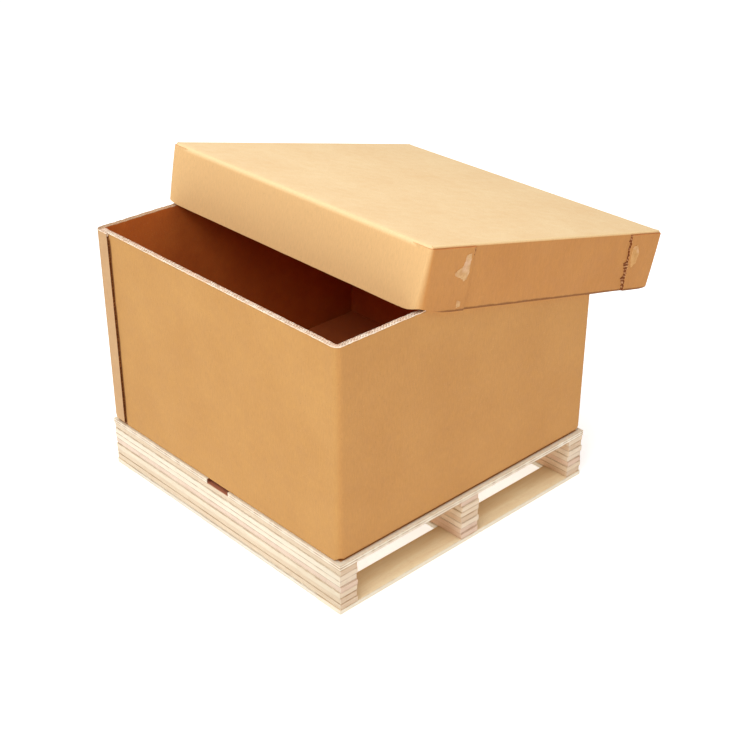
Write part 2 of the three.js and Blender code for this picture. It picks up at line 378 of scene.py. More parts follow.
JOINT_TINT = rgb(168, 126, 84)
SLOT_LOW_PAINTED_SHADE = rgb(186, 118, 90)
SLOT_HIGH_PAINTED_SHADE = rgb(104, 52, 26)
CROSS_PAINTED_SHADE_TINT = rgb(178, 138, 92)
UNDER_CARTON_SHADOW_TINT = rgb(206, 148, 90)
BOARD_EDGE_TINT = rgb(234, 226, 210)
POCKET_SIDE_PAINTED_SHADE = rgb(222, 162, 108)
RUNNER_END_PAINTED_SHADE = (1.0, 0.89, 0.84, 1.0)
NEAR_SHADE = (0.90, 0.89, 0.87, 1.0)

PLY_PITCH = 0.0062
PLY_SHIFT = 0.0007
PLY_SWAY = 0.0004
PLY_BUMP = 0.0006
JOINT_HALF = 0.0009
JOINT_BLUR = 2.6
CROSS_SHADE_DEEP, CROSS_SHADE_END = 0.085, 0.030
NEAR_SHADE_FULL, NEAR_SHADE_END = -0.46, -0.22
POCKET_MARGIN = 0.012
POCKET_SHADE_DEPTH = 0.16
UNDER_END_MARGIN, UNDER_SIDE_MARGIN = 0.006, 0.012
UNDER_BELOW = 0.001
SLOT_MARGIN = 0.0005
SLOT_BELOW = 0.0004
SLOT_FADE = 0.007


def ply_edge(n, tints, seed, sway, streaks):
    """A sawn edge with its thin plies and glue lines."""
    light, dark, line = tints
    height = n.total(n.axis("Z"), seed * PLY_SHIFT)
    plies = n.math("SINE", n.product(n.total(height, sway), 2 * math.pi / PLY_PITCH))
    edge = n.mix(n.product(n.span(plies, 0.2, 0.9), 0.55), light, dark)
    return n.mix(n.product(streaks, 0.3), edge, line)


def ply_joints(n, edge, sway, start, layer):
    """A dark joint, worn away in places, wherever one layer ends and the next begins."""
    place = n.math("DIVIDE", n.math("SUBTRACT", n.total(n.axis("Z"), sway), start), layer)
    from_joint = n.math("ABSOLUTE", n.math("SUBTRACT", n.math("FRACT", n.total(place, 0.5)), 0.5))
    worn = n.span(n.noise(38, 3, 0.65, stretch=(1.0, 1.0, 0.2)), 0.38, 0.6, 0.3, 1.0)
    half = JOINT_HALF / layer
    joint = n.product(n.span(from_joint, half, half * JOINT_BLUR, 1.0, 0.0), worn)
    return n.mix(joint, edge, JOINT_TINT)


def runner_shades(n, edge, far_x, far_y):
    """A runner's strips: painted shade on the ends, which look towards -Y, darker and pinker; duller near
    the front; a painted shade, orange, on the sides in the fork pockets.
    """
    # Painted shade: the ends that look towards -Y are multiplied darker and pinker
    edge = n.mix(n.facing_front(0.7), edge, RUNNER_END_PAINTED_SHADE, "MULTIPLY")
    near = n.span(n.axis("Y"), NEAR_SHADE_FULL, NEAR_SHADE_END, 1.0, 0.0)
    edge = n.mix(near, edge, NEAR_SHADE, "MULTIPLY")
    # Painted shade on the runners' sides in the fork pockets, stronger deeper in
    sideways = n.span(n.math("ABSOLUTE", n.facing("X")), 0.5, 0.9)
    in_pocket = n.product(sideways, n.math("LESS_THAN", far_x, PALLET_X - POCKET_MARGIN))
    deeper = n.span(far_y, PALLET_Y - POCKET_SHADE_DEPTH, PALLET_Y, 0.75, 0.2)
    return n.mix(n.product(in_pocket, deeper), edge, POCKET_SIDE_PAINTED_SHADE)


def below_carton(n, far_x, far_y):
    """1 on the deck's top where the carton stands over it, otherwise 0."""
    inside_ends = n.math("LESS_THAN", far_y, WALL_Y - UNDER_END_MARGIN)
    inside_sides = n.math("LESS_THAN", far_x, WALL_X - UNDER_SIDE_MARGIN)
    on_top = n.math("GREATER_THAN", n.axis("Z"), BOTTOM - UNDER_BELOW)
    return n.product(n.product(inside_ends, inside_sides), on_top)


def slot_painted_shade(n, color, far_x, far_y):
    """The strap slot's walls, with painted shade that is darker towards the carton."""
    along = n.math("LESS_THAN", far_y, SLOT_HALF + SLOT_MARGIN)
    across = n.math("GREATER_THAN", far_x, PALLET_X - SLOT_DEPTH - SLOT_MARGIN)
    in_deck = n.math("GREATER_THAN", n.axis("Z"), DECK_BOTTOM - SLOT_BELOW)
    rise = n.span(n.axis("Z"), DECK_BOTTOM, DECK_BOTTOM + SLOT_FADE)
    in_slot = n.product(n.product(along, across), in_deck)
    return n.mix(in_slot, color, n.mix(rise, SLOT_LOW_PAINTED_SHADE, SLOT_HIGH_PAINTED_SHADE))


def plywood(name, tints, seed, start=STRIPS_FROM, layer=STRIP_HEIGHT, cross=False):
    """Plywood: thin plies and glue lines on the edges, long grain on the faces, joints between layers."""
    n = Nodes(name)
    light, dark, line = tints
    sway = n.span(n.noise(9, 2, 0.5, stretch=(0.4, 0.4, 3.0)), 0.3, 0.7, -PLY_SWAY, PLY_SWAY)
    streaks = n.span(n.noise(30, 4, 0.6, stretch=(0.35, 0.35, 8.0)), 0.3, 0.7)
    edge = ply_joints(n, ply_edge(n, tints, seed, sway, streaks), sway, start, layer)
    grain_way = (0.4, 4.0, 1.0) if cross else (4.0, 0.4, 1.0)
    grain = n.span(n.noise(14, 5, 0.65, stretch=grain_way, distortion=0.6), 0.2, 0.8)
    face = n.mix(grain, dark, light)
    far_x = n.math("ABSOLUTE", n.axis("X"))
    far_y = n.math("ABSOLUTE", n.axis("Y"))
    if cross:
        # Painted shade: the cross board's top darkens towards its inner edge, under the deck
        deep = n.span(far_y, PALLET_Y - CROSS_SHADE_DEEP, PALLET_Y - CROSS_SHADE_END, 0.6, 0.0)
        face = n.mix(deep, face, CROSS_PAINTED_SHADE_TINT)
        edge = n.mix(0.7, edge, BOARD_EDGE_TINT)
    elif layer == STRIP_HEIGHT:
        edge = runner_shades(n, edge, far_x, far_y)
    # Painted shadow on the deck's top under the carton
    face = n.mix(below_carton(n, far_x, far_y), face, UNDER_CARTON_SHADOW_TINT)
    color = n.mix(n.span(n.math("ABSOLUTE", n.facing("Z")), 0.6, 0.9), edge, face)
    dirt = n.span(n.noise(55, 4, 0.6), 0.58, 0.75)
    color = n.mix(n.product(dirt, 0.3), color, line)
    saw_marks = n.span(n.noise(210, 3, 0.65, stretch=(1.0, 1.0, 0.6)), 0.52, 0.72)
    color = n.mix(n.product(saw_marks, 0.32), color, line)
    color = slot_painted_shade(n, color, far_x, far_y)
    normal = n.bump(n.total(streaks, n.noise(180, 3, 0.6)), PLY_BUMP, 0.5)
    return n.done(color, n.span(streaks, 0, 1, 0.6, 0.8), normal)


# Mesh making

SHARP_ABOVE = math.radians(32)


class Shell:
    """Collects vertices and faces with a material slot for each face."""

    def __init__(self):
        self.verts = []
        self.faces = []
        self.slots = []

    def ring(self, points):
        start = len(self.verts)
        self.verts.extend(tuple(point) for point in points)
        return list(range(start, start + len(points)))

    def face(self, corners, slot):
        self.faces.append(tuple(corners))
        self.slots.append(slot)

    def bridge(self, ring_a, ring_b, slots):
        """Joins two closed rings, each face with the slot of the ring's place."""
        count = len(ring_a)
        for i in range(count):
            j = (i + 1) % count
            self.face((ring_a[i], ring_a[j], ring_b[j], ring_b[i]), slots[i])

    def bridge_evenly(self, ring_a, ring_b, slot):
        self.bridge(ring_a, ring_b, [slot] * len(ring_a))

    def bridge_open(self, rings, slots, end_slot):
        """Joins a row of rings into one closed solid, with a face over each end."""
        self.face(rings[0], end_slot)
        for ring_a, ring_b in zip(rings, rings[1:]):
            self.bridge(ring_a, ring_b, slots)
        self.face(rings[-1], end_slot)

    def finish(self, name, materials):
        """The piece itself: smooth, but sharp where it is folded or cut, with its faces turned outwards."""
        mesh = bpy.data.meshes.new(name)
        mesh.from_pydata(self.verts, [], self.faces)
        mesh.validate()
        for material in materials:
            mesh.materials.append(material)
        mesh.polygons.foreach_set("material_index", self.slots)
        mesh.polygons.foreach_set("use_smooth", [True] * len(mesh.polygons))
        mesh.set_sharp_from_angle(angle=SHARP_ABOVE)
        mesh.update()
        piece = bpy.data.objects.new(name, mesh)
        bpy.context.scene.collection.objects.link(piece)
        work = bmesh.new()
        work.from_mesh(mesh)
        bmesh.ops.recalc_face_normals(work, faces=work.faces)
        work.to_mesh(mesh)
        work.free()
        return piece


def ripple(at):
    """Smooth noise at a place, never below nothing."""
    return abs(noise.noise(at))


# Carton

WALL_STEP = 0.0065
LINER_STEP = 0.012
CORNER_STEPS_LEAST = 6
FLAP_NOTCH = 0.006
FLAP_END_GAP = 0.001
PRESSED_EDGE = 0.0025
WALL_BOW = 0.0016
WALL_DENT = 0.0016
RIM_NICK = 0.0018
RIM_WAVE = 0.0012
RIM_WEAR_DEPTH = 0.004
RIM_ROUND = 0.0016
RIM_PAPER = 0.02
FLUTE_DROP = 0.0007
FLUTE_FRAY = 0.0010
LINER_DROP = 0.0006
PAPER_ROOT = 0.001
LAYER_TURN = 2.1
LAYER_APART = 3.0

# Rows of the wall's section: across the board as a share, and up from its lower edge or down from the rim
FOLD_ROWS = ((0.5, 0.0), (0.22, 0.0009), (0.07, 0.0032), (0.0, 0.008))
BODY_ROWS = (0.03, 0.06, 0.12, 0.2, 0.3, 0.4, 0.5, 0.6, 0.7, 0.8, 0.88, 0.94, 0.97)
RIM_ROWS = (
    (0.0, -RIM_DEPTH), (0.0, -RIM_ROUND), (RIM_PAPER, 0.0), (LINER, 0.0), (LINER, -RIM_DEPTH),
    (1 - LINER, -RIM_DEPTH), (1 - LINER, 0.0), (1 - RIM_PAPER, 0.0), (1.0, -RIM_ROUND), (1.0, -RIM_DEPTH),
)
KRAFT_OUT, KRAFT_IN, CUT, DARK, LAP, HOLLOW = range(6)
RIM_SLOTS = (KRAFT_OUT, CUT, CUT, HOLLOW, HOLLOW, HOLLOW, CUT, CUT, KRAFT_IN, KRAFT_IN)

# A paper on edge: pale along its cut edge, brown on its sides
PALE, BROWN = range(2)
PAPER_SLOTS = (BROWN, PALE, BROWN, BROWN)


def lift_between(angle_share, before, after):
    """The wall's lower edge round a corner: it rises into a small notch between two flaps."""
    notch = FLAP_NOTCH * math.sin(math.pi * angle_share)
    return before + (after - before) * angle_share + notch


def carton_path(step):
    """Stations once round the carton: outside point, inside point and how far the lower edge is lifted."""
    x, y, r = WALL_X, WALL_Y, FOLD
    lap_x = -x - LAP_BOARD
    stations = []

    def wall(out_a, out_b, in_a, in_b, lift):
        steps = max(1, round((Vector(out_b) - Vector(out_a)).length / step))
        for i in range(steps + 1):
            share = i / steps
            outside = Vector(out_a).lerp(Vector(out_b), share)
            stations.append((outside, Vector(in_a).lerp(Vector(in_b), share), lift))

    def corner(centre, start, inner_a, inner_b, lift_a, lift_b):
        steps = max(CORNER_STEPS_LEAST, round(r * math.pi / 2 / step))
        for i in range(1, steps):
            share = i / steps
            angle = start + share * math.pi / 2
            out = Vector((math.cos(angle), math.sin(angle)))
            inner = inner_a + (inner_b - inner_a) * share
            lift = lift_between(share, lift_a, lift_b)
            stations.append((Vector(centre) + out * r, Vector(centre) + out * inner, lift))

    ri = r - BOARD
    up = END_WALL_LIFT
    lap_inner = r - LAP_BOARD + GLUE_LINE
    start_y = INSIDE_Y - GLUE_LINE
    wall((-x, start_y), (-x, -y + r), (-INSIDE_X, start_y), (-INSIDE_X, -y + r), 0.0)
    corner((-x + r, -y + r), math.pi, ri, ri, 0.0, up)
    wall((-x + r, -y), (x - r, -y), (-x + r, -INSIDE_Y), (x - r, -INSIDE_Y), up)
    corner((x - r, -y + r), -math.pi / 2, ri, ri, up, 0.0)
    wall((x, -y + r), (x, y - r), (INSIDE_X, -y + r), (INSIDE_X, y - r), 0.0)
    corner((x - r, y - r), 0.0, ri, ri, 0.0, up)
    wall((x - r, y), (lap_x + r, y), (x - r, INSIDE_Y), (lap_x + r, INSIDE_Y), up)
    corner((lap_x + r, y - r), math.pi / 2, ri, lap_inner, up, LAP_ABOVE_BOTTOM)
    wall((lap_x, y - r), (lap_x, y - LAP_WIDTH), (-x - GLUE_LINE, y - r), (-x - GLUE_LINE, y - LAP_WIDTH),
         LAP_ABOVE_BOTTOM)
    return stations


def wall_section(lift):
    """The wall's section as (across, height, slot), from under the fold up the outside and down inside."""
    low = BOTTOM + lift
    tall = RIM - low
    rows = [(across, low + height, KRAFT_OUT) for across, height in FOLD_ROWS]
    rows += [(0.0, low + tall * share, KRAFT_OUT) for share in BODY_ROWS]
    rows += [(across, RIM + height, slot) for (across, height), slot in zip(RIM_ROWS, RIM_SLOTS)]
    rows += [(1.0, low + tall * share, KRAFT_IN) for share in reversed(BODY_ROWS)]
    rows.append((1.0, low, KRAFT_OUT))
    return rows


def wall_bow(point, height):
    """How far the wall gives inwards: a slow bow and soft dents, fading towards its edges."""
    share = (height - BOTTOM) / (RIM - BOTTOM)
    middle = max(0.0, math.sin(math.pi * min(1.0, max(0.0, share))))
    along = 1.0 - max(abs(point.x) / WALL_X, abs(point.y) / WALL_Y) ** 2
    away = 1.0 - min(1.0, (abs(point.x) / WALL_X) ** 6 * (abs(point.y) / WALL_Y) ** 6)
    slow = WALL_BOW * middle * (0.4 + 0.6 * along)
    dents = WALL_DENT * ripple(Vector((point.x * 3.1, point.y * 3.1, height * 3.7)))
    return (slow + dents) * away * (0.25 + 0.75 * middle)


def rim_wear(point):
    """How far the rim's paper is worn down at a place."""
    at = Vector((point.x, point.y, 0.0))
    return RIM_NICK * ripple(at * 85) + RIM_WAVE * ripple(at * 11)


def wall_point(outside, inside, across, height):
    flat = outside.lerp(inside, across)
    inward = (inside - outside).normalized()
    flat = flat + inward * wall_bow(outside, height)
    return (flat.x, flat.y, height)


def carton_walls(materials):
    shell = Shell()
    previous = None
    for outside, inside, lift in carton_path(WALL_STEP):
        section = wall_section(lift)
        on_lap = outside.x < -WALL_X - LAP_BOARD / 2
        points = []
        for across, height, _ in section:
            worn = height - rim_wear(outside) if height > RIM - RIM_WEAR_DEPTH else height
            points.append(wall_point(outside, inside, across, worn))
        ring = shell.ring(points)
        slots = [LAP if on_lap and row[2] == KRAFT_OUT else row[2] for row in section]
        if previous is None:
            shell.face(ring, CUT)
        else:
            shell.bridge(previous, ring, slots)
        previous = ring
    # The lap's end face takes the dark open-flute paper: painted shade for the gap along the lap's edge
    shell.face(previous, DARK)
    add_flaps(shell)
    return shell.finish("carton_walls", materials)


def add_board(shell, x0, x1, y0, y1, z0, z1, slot):
    """A flat piece of board with softly pressed edges."""
    soft = PRESSED_EDGE
    rings = []
    for inset, z in ((soft, z0), (0.0, z0 + soft), (0.0, z1 - soft), (soft, z1)):
        left, right = x0 + inset, x1 - inset
        near, far = y0 + inset, y1 - inset
        rings.append(shell.ring([(left, near, z), (right, near, z), (right, far, z), (left, far, z)]))
    shell.bridge_open(rings, (LAP,) * 4, slot)


def add_flaps(shell):
    """Two outer flaps from the side walls, two inner ones from the end walls, meeting at the middle."""
    half = FLAP_SEAM / 2
    inner = BOTTOM + BOARD + GLUE_LINE
    end_x = INSIDE_X - FLAP_END_GAP
    end_y = INSIDE_Y - FLAP_END_GAP
    for side in (-1, 1):
        x0, x1 = sorted((side * half, side * (WALL_X - BOARD / 2)))
        add_board(shell, x0, x1, -end_y, end_y, BOTTOM, BOTTOM + BOARD, KRAFT_OUT)
        y0, y1 = sorted((side * half, side * (WALL_Y - BOARD / 2)))
        add_board(shell, -end_x, end_x, y0, y1, inner, inner + BOARD, KRAFT_IN)


def paper_ring(shell, outside, inside, across, half, top):
    """One section of a paper that stands on edge in the rim."""
    low = RIM - RIM_DEPTH - PAPER_ROOT
    corners = ((across - half, low), (across - half, top), (across + half, top), (across + half, low))
    return shell.ring([wall_point(outside, inside, place, height) for place, height in corners])


def path_runs(path):
    """How far along the middle of the board each station lies."""
    middles = [outside.lerp(inside, 0.5) for outside, inside, _ in path]
    runs = [0.0]
    for before, after in zip(middles, middles[1:]):
        runs.append(runs[-1] + (after - before).length)
    return runs


def add_flutes(shell, path, layer, centre):
    """One fluted paper, which weaves from liner to liner."""
    half = FLUTE_THICK / 2 / BOARD
    rings = []
    for (outside, inside, _), run in zip(path, path_runs(path)):
        at = Vector((outside.x, outside.y, layer * LAYER_APART))
        phase = 2 * math.pi * run / FLUTE_PITCH + LAYER_TURN * layer + 1.2 * noise.noise(at * 7)
        swing = FLUTE_SWING * (0.85 + 0.5 * noise.noise(at * 25))
        across = centre + swing * math.sin(phase)
        top = RIM - FLUTE_DROP - FLUTE_FRAY * ripple(at * 90) - rim_wear(outside)
        rings.append(paper_ring(shell, outside, inside, across, half, top))
    shell.bridge_open(rings, PAPER_SLOTS, PALE)


def add_liner(shell, across):
    """One flat paper between two fluted ones."""
    rings = []
    for outside, inside, _ in carton_path(LINER_STEP):
        top = RIM - LINER_DROP - rim_wear(outside)
        rings.append(paper_ring(shell, outside, inside, across, LINER / 2, top))
    shell.bridge_open(rings, PAPER_SLOTS, PALE)


def carton_flutes(materials):
    """The papers inside the board, seen end on along the rim."""
    shell = Shell()
    path = carton_path(FLUTE_PITCH / FLUTE_SAMPLES)
    for layer, centre in enumerate(FLUTE_LAYERS):
        add_flutes(shell, path, layer, centre)
    for across in (1 / 3, 2 / 3):
        add_liner(shell, across)
    return shell.finish("carton_flutes", materials)


# Cap

CAP_KRAFT, CAP_CUT, CAP_IN, CAP_OPEN = range(4)
CORNER_STEPS = 10
SIDE_STEPS = 40
FOLD_STEPS = 6
FOLD_LEAST = 0.001
CORNER_TOP, CORNER_LOW = 0.009, 0.024
PANEL_RINGS = (0.985, 0.96, 0.92, 0.86, 0.78, 0.69, 0.6, 0.5, 0.4, 0.3, 0.2, 0.1, 0.03)
FLANGE_ROWS = (0.04, 0.1, 0.2, 0.32, 0.45, 0.58, 0.7, 0.8, 0.88, 0.94, 0.98, 1.0)
CURL, CURL_REACH = 0.007, 0.030
NEAR_CURL, NEAR_CURL_REACH = 0.013, 0.060
EDGE_WAVER = 0.0012
PANEL_SAG = 0.0030
PANEL_WAVER = 0.0010
PANEL_FADE = 0.09
FLANGE_GIVE = 0.0014


def cap_stations():
    """Places once round the cap: a corner arc's angle, or a share of the way along a side."""
    corners = (((-1, -1), math.pi), ((1, -1), -math.pi / 2), ((1, 1), 0.0), ((-1, 1), math.pi / 2))
    sides = (("y", -1), ("x", 1), ("y", 1), ("x", -1))
    stations = []
    for (signs, start), (axis, sign) in zip(corners, sides):
        for i in range(CORNER_STEPS + 1):
            stations.append(("corner", signs, start + math.pi / 2 * i / CORNER_STEPS))
        for i in range(1, SIDE_STEPS):
            stations.append((axis, sign, i / SIDE_STEPS))
    return stations


def cap_point(station, radius, inset):
    """A station's place in plan, for one corner radius and one distance in from the outside."""
    kind, sign, value = station
    long_x = CAP_HALF_X - radius
    long_y = CAP_HALF_Y - radius
    if kind == "corner":
        reach = radius - inset
        x = CAP_MID + sign[0] * long_x + reach * math.cos(value)
        y = sign[1] * long_y + reach * math.sin(value)
        return Vector((x, y))
    if kind == "y":
        way = (2 * value - 1) * -sign
        return Vector((CAP_MID + long_x * way, sign * (CAP_HALF_Y - inset)))
    way = (2 * value - 1) * sign
    return Vector((CAP_MID + sign * (CAP_HALF_X - inset), long_y * way))


def fold_radius(station):
    kind, _, value = station
    if kind == "corner":
        return SIDE_FOLD + (END_FOLD - SIDE_FOLD) * abs(math.cos(value))
    return END_FOLD if kind == "x" else SIDE_FOLD


def from_faces(flat):
    """How far a place is in from the cap's end faces, and from its side faces."""
    return CAP_HALF_X - abs(flat.x - CAP_MID), CAP_HALF_Y - abs(flat.y)


def flange_edge(flat):
    """The height of the flanges' cut edge: it curls up at the corners and wavers along the sides."""
    from_x, from_y = from_faces(flat)
    tall, reach = CURL, CURL_REACH
    if flat.x < CAP_MID and flat.y < 0:
        tall = NEAR_CURL
        reach = NEAR_CURL_REACH if from_x > from_y else CURL_REACH
    curl = tall * math.exp(-(max(from_x, from_y, 0.0) / reach) ** 2)
    return curl + EDGE_WAVER * ripple(Vector((flat.x * 5, flat.y * 5, 4.0)))


def panel_sag(flat):
    """The panel sinks slightly between the flange that it stands on and the wall that it leans on."""
    share = min(1.0, max(0.0, flat.x / LEAN_LENGTH))
    across = 1.0 - (flat.y / CAP_HALF_Y) ** 2
    fade = min(1.0, max(0.0, min(from_faces(flat)) / PANEL_FADE))
    waver = PANEL_WAVER * ripple(Vector((flat.x * 2.6, flat.y * 2.6, 9.0)))
    return -(PANEL_SAG * math.sin(math.pi * share) ** 2 * across + waver) * fade


def flange_radius(share):
    """The corner's radius in plan, from the fold down to the edge."""
    return CORNER_TOP + (CORNER_LOW - CORNER_TOP) * share ** 1.5


def flange_give(flat, share):
    """The flanges bulge and dip by a millimetre or so, always inwards of the true face."""
    return FLANGE_GIVE * share * ripple(Vector((flat.x * 4.1, flat.y * 4.1, share * 1.5)))


def fold_row(stations, thick, turn):
    """One ring of the fold between panel and flanges, at one angle of its turn."""
    points = []
    for station in stations:
        fold = fold_radius(station)
        reach = max(fold - thick, FOLD_LEAST)
        inset = SKIN + fold - reach * math.sin(turn)
        flat = cap_point(station, max(CORNER_TOP, fold + SKIN), inset)
        points.append((flat.x, flat.y, CAP_TOP - fold + reach * math.cos(turn)))
    return points


def flange_row(stations, thick, share):
    """One ring of the flanges, at one share of the way from the fold to the edge."""
    points = []
    for station in stations:
        fold = fold_radius(station)
        radius = max(flange_radius(share), fold + SKIN)
        face = cap_point(station, radius, SKIN)
        flat = cap_point(station, radius, SKIN + flange_give(face, share) + thick)
        top = CAP_TOP - fold
        points.append((flat.x, flat.y, top + (flange_edge(face) - top) * share))
    return points


def cap_rows(stations, thick):
    """Rings from the fold down to the edge, at one depth into the board."""
    turns = [math.pi / 2 * step / FOLD_STEPS for step in range(FOLD_STEPS + 1)]
    rows = [fold_row(stations, thick, turn) for turn in turns]
    return rows + [flange_row(stations, thick, share) for share in FLANGE_ROWS]


def panel_rings(first, height):
    """Rings from the fold in to the middle of the panel, with its sag."""
    rings = []
    for scale in PANEL_RINGS:
        points = []
        for x, y, _ in first:
            flat = Vector((CAP_MID + (x - CAP_MID) * scale, y * scale))
            points.append((flat.x, flat.y, height + panel_sag(flat)))
        rings.append(points)
    return rings


def lid_shell(materials):
    shell = Shell()
    stations = cap_stations()
    outer = cap_rows(stations, 0.0)
    inner = cap_rows(stations, CAP_BOARD)
    top = [shell.ring(points) for points in reversed(panel_rings(outer[0], CAP_TOP))]
    down = [shell.ring(points) for points in outer]
    back = [shell.ring(points) for points in reversed(inner)]
    under = [shell.ring(points) for points in panel_rings(inner[0], CAP_TOP - CAP_BOARD)]
    outside = top + down
    inside = back + under
    shell.face(outside[0], CAP_KRAFT)
    for a, b in zip(outside, outside[1:]):
        shell.bridge_evenly(a, b, CAP_KRAFT)
    shell.bridge_evenly(outside[-1], inside[0], CAP_CUT)
    for a, b in zip(inside, inside[1:]):
        shell.bridge_evenly(a, b, CAP_IN)
    shell.face(inside[-1], CAP_IN)
    for sx in (-1, 1):
        for sy in (-1, 1):
            add_tab(shell, sx, sy)
    piece = shell.finish("lid_shell", materials)
    piece.data.transform(cap_place)
    return piece


# Tabs and scraps. A share goes from a tab's top, which is 0, down to its lower edge.

TAB_LEVELS = 44
TAB_ARC = 8
TAB_REACH = 0.055
TAB_INSET = 0.0008
TAB_STANDOFF = 0.004
TAB_TOP_WAVER = 0.0022
TAB_SKIVE = 0.008
TAB_SKIVE_FADE = 1.9
TAB_START = ((0.0022, 1.0), (0.0002, 0.6), (0.0, 0.25))
TAB_STEPS = (0.2, 0.4, 0.6, 0.8, 0.93, 1.0)
NEAR_TAB_BACK = 0.004
FAR_TAB_BACK, FAR_TAB_SLANT = 0.016, 0.014
END_RAG, END_RAG_LOWER = 0.003, 0.005
END_SWAY = 0.005
END_REACH = 0.001
TEAR_TOP, TEAR_TOP_WIDTH = 0.18, 0.009
TEAR_MIDDLE, TEAR_MIDDLE_WIDTH = 0.48, 0.0025
TEAR_LOW_WIDTH = 0.013

# Outlines of the scraps in millimetres, along the side flange from the cap's left end and up from its edge
UPPER_SCRAP = (
    (132, 147), (150, 149), (153, 128), (152, 104), (150, 84), (138, 80),
    (122, 88), (104, 94), (102, 104), (116, 112), (130, 120),
)
LOWER_SCRAP = ((128, 28), (141, 27), (143, 12), (131, 8))
FAR_SCRAP = ((858, 132), (880, 136), (892, 112), (888, 84), (868, 70), (858, 92))
SCRAP_RAG = 4.0
SCRAP_GRAIN = 0.16
SCRAP_FRONT, SCRAP_BACK = 0.0001, 0.0012
TORN_SCRAP, RUBBED_SCRAP = range(2)


def tab_path(share, end):
    """A tab in plan at one height, from inside the end flange, round the corner and along the side flange.
    Each place is (u, v, inward direction): u from the end flange's face, v from the tab's own face."""
    radius = flange_radius(share) + TAB_STANDOFF
    path = [(sink, radius + TAB_REACH * part, (1.0, 0.0)) for sink, part in TAB_START]
    for i in range(TAB_ARC + 1):
        angle = math.pi / 2 * i / TAB_ARC
        out = (-math.cos(angle), -math.sin(angle))
        path.append((radius + radius * out[0], radius + radius * out[1], (-out[0], -out[1])))
    for step in TAB_STEPS:
        path.append((radius + (end - radius) * step, 0.0, (0.0, 1.0)))
    return path


def tab_end(sx, seed, level, share):
    """How far along the side flange a tab's ragged end lies."""
    ragged = (END_RAG + END_RAG_LOWER * share) * noise.noise(Vector((seed, level * 0.83, 0.0)))
    ragged += END_SWAY * noise.noise(Vector((seed, level * 0.17, 5.0)))
    back = NEAR_TAB_BACK if sx < 0 else FAR_TAB_BACK + FAR_TAB_SLANT * share
    return TAB_LENGTH - back + ragged


def tear_width(share):
    """How far a far tab's torn end bares the flutes: a little at the top, much in the lower half."""
    if share < TEAR_TOP:
        return TEAR_TOP_WIDTH
    return TEAR_MIDDLE_WIDTH if share < TEAR_MIDDLE else TEAR_LOW_WIDTH


def end_tear(sx, seed, level, share):
    """How much longer a tab is on its inner side at its end."""
    if sx < 0:
        return TAB_SKIVE * max(0.0, 1.0 - TAB_SKIVE_FADE * share)
    return tear_width(share) * (0.35 + 2.6 * ripple(Vector((seed, level * 0.93, 2.0))))


def tab_ring(sx, sy, seed, level):
    """A tab's section at one level, its outer points and its inner ones."""
    share = 1 - level / TAB_LEVELS
    end = tab_end(sx, seed, level, share)
    outside, inside = [], []
    for u, v, inward in tab_path(share, end):
        flat = Vector((CAP_MID + sx * (CAP_HALF_X - u), sy * (TAB_Y - TAB_INSET - v)))
        low = flange_edge(Vector((flat.x, min(max(flat.y, -CAP_HALF_Y), CAP_HALF_Y))))
        tall = CAP_HEIGHT - TAB_BELOW_TOP - TAB_TOP_WAVER * ripple(Vector((seed, u * 60, 8.0)))
        z = low + (tall - low) * (1 - share)
        outside.append((flat.x, flat.y, z))
        at_end = v == 0.0 and u > end - END_REACH
        torn = end_tear(sx, seed, level, share) if at_end else 0.0
        deep_u = u + inward[0] * TAB_BOARD + torn
        deep_v = v + inward[1] * (TAB_BOARD - TAB_INSET) + TAB_INSET
        inside.append((CAP_MID + sx * (CAP_HALF_X - deep_u), sy * (TAB_Y - deep_v), z))
    return outside, inside


def add_tab(shell, sx, sy):
    """The part of an end flange that is turned round the corner and glued over the side flange."""
    seed = 7.0 * sx + 3.0 * sy
    rings = []
    for level in range(TAB_LEVELS + 1):
        outside, inside = tab_ring(sx, sy, seed, level)
        rings.append(shell.ring(outside + inside[::-1]))
    count = len(outside)
    for level, (low, high) in enumerate(zip(rings, rings[1:])):
        bared = sx > 0 or level > TAB_LEVELS // 2
        end_slot = CAP_OPEN if bared else CAP_KRAFT
        slots = [CAP_KRAFT] * (count - 1) + [end_slot] + [CAP_IN] * (count - 1) + [CAP_KRAFT]
        shell.bridge(low, high, slots)
    # Both ends are closed with the darker inside paper; on the tab's top it is painted shade, the dark line
    # under the panel's fold
    for ring in (rings[0], rings[-1]):
        outer, inner = ring[:count], ring[count:][::-1]
        for i in range(count - 1):
            shell.face((outer[i], outer[i + 1], inner[i + 1], inner[i]), CAP_IN)


def add_scrap(shell, corners, seed, slot):
    """A scrap of torn paper, or a rubbed place, on the face of a tab of the front side flange."""
    front, rear = [], []
    for (u, z), (next_u, next_z) in zip(corners, corners[1:] + corners[:1]):
        for share in (0.0, 0.25, 0.5, 0.75):
            at_u, at_z = u + (next_u - u) * share, z + (next_z - z) * share
            at_u += SCRAP_RAG * noise.noise(Vector((at_u * SCRAP_GRAIN, at_z * SCRAP_GRAIN, seed)))
            at_z += SCRAP_RAG * noise.noise(Vector((at_u * SCRAP_GRAIN, at_z * SCRAP_GRAIN, seed + 5)))
            x = CAP_X0 + at_u / 1000
            front.append((x, -TAB_Y + SCRAP_FRONT, at_z / 1000))
            rear.append((x, -TAB_Y + SCRAP_BACK, at_z / 1000))
    ring_a, ring_b = shell.ring(front), shell.ring(rear)
    shell.bridge_open((ring_a, ring_b), [slot] * len(ring_a), slot)


def lid_scraps(materials):
    shell = Shell()
    add_scrap(shell, UPPER_SCRAP, 1.3, TORN_SCRAP)
    add_scrap(shell, LOWER_SCRAP, 4.1, TORN_SCRAP)
    add_scrap(shell, FAR_SCRAP, 2.2, RUBBED_SCRAP)
    piece = shell.finish("lid_scraps", materials)
    piece.data.transform(cap_place)
    return piece


# Stage and light

